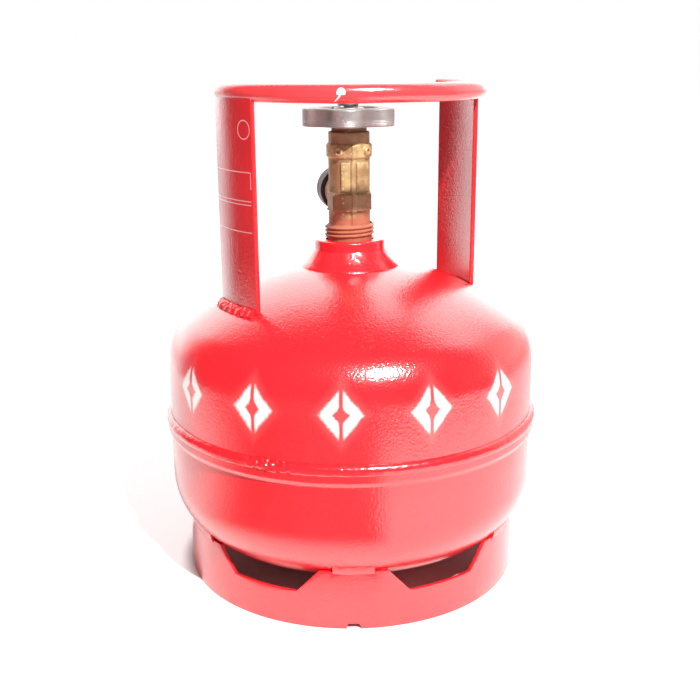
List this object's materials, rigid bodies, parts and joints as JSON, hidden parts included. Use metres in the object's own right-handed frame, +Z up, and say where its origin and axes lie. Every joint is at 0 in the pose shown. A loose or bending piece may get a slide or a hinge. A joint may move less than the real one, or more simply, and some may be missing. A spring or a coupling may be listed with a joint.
{
  "type": "propane tank",
  "caption": "Small squat gas cylinder with dished ends, vented foot ring, open carrying ring on two curved posts, and a brass handwheel valve with a capped side outlet.",
  "frame": {"origin": "centre of the foot ring's underside, on the cylinder's axis", "axes": "+Z up along the cylinder's axis; the two grip posts stand beside the X axis, each turned a few degrees toward -Y, the plain one on the +X side; the open side of the grip and the valve's outlet face +Y; the grip's closed front faces -Y"},
  "size_m": [0.2298, 0.2298, 0.295],
  "materials": {
    "red_enamel": "thick glossy red enamel over welded sheet steel",
    "brass": "forged and turned brass, tarnished",
    "steel": "plain turned or wound steel",
    "cast_aluminium": "as-cast aluminium, grey",
    "seal": "moulded seal",
    "black_cap": "black moulded plastic"
  },
  "bodies": {
    "tank": {"upper_dish": "red_enamel", "lower_dish": "red_enamel", "girth_weld": "red_enamel", "neck_boss": "red_enamel", "neck_weld": "red_enamel", "foot_ring": "red_enamel", "foot_welds": "red_enamel", "plain_post": "red_enamel", "plate_post": "red_enamel", "post_welds": "red_enamel", "grip_ring": "red_enamel", "grip_welds": "red_enamel", "valve_body": "brass", "spindle_gasket": "seal", "gland_nut": "brass"},
    "spindle_set": {"spindle": "steel", "drive_coupling": "brass", "handwheel": "cast_aluminium", "handwheel_spring": "steel", "spring_washer": "steel", "top_nut": "steel"},
    "plug_set": {"valve_plug": "brass", "seat_insert": "seal"},
    "cap_seal": {"outlet_gasket": "seal"},
    "cap": {"outlet_cap": "black_cap"}
  },
  "joints": [
    {"name": "wheel_turn", "type": "hinge", "parent": "tank", "child": "spindle_set", "pos_m": [0, 0, 0.27], "axis": [0, 0, 1], "range_deg": [0, 540]},
    {"name": "plug_lift", "type": "slide", "parent": "spindle_set", "child": "plug_set", "axis": [0, 0, 1], "range_m": [0, 0.003]},
    {"name": "cap_slide", "type": "slide", "parent": "tank", "child": "cap_seal", "axis": [0.3173, 0.9483, 0], "range_m": [0, 0.0145]},
    {"name": "cap_turn", "type": "hinge", "parent": "cap_seal", "child": "cap", "pos_m": [0.00952, 0.02845, 0.2295], "axis": [-0.3173, -0.9483, 0], "range_deg": [0, 2880]}
  ],
  "couplings": [
    {"joint": "wheel_turn", "follows": "plug_lift", "rad_per_m": 3141.6},
    {"joint": "cap_turn", "follows": "cap_slide", "rad_per_m": 3463.2}
  ]
}
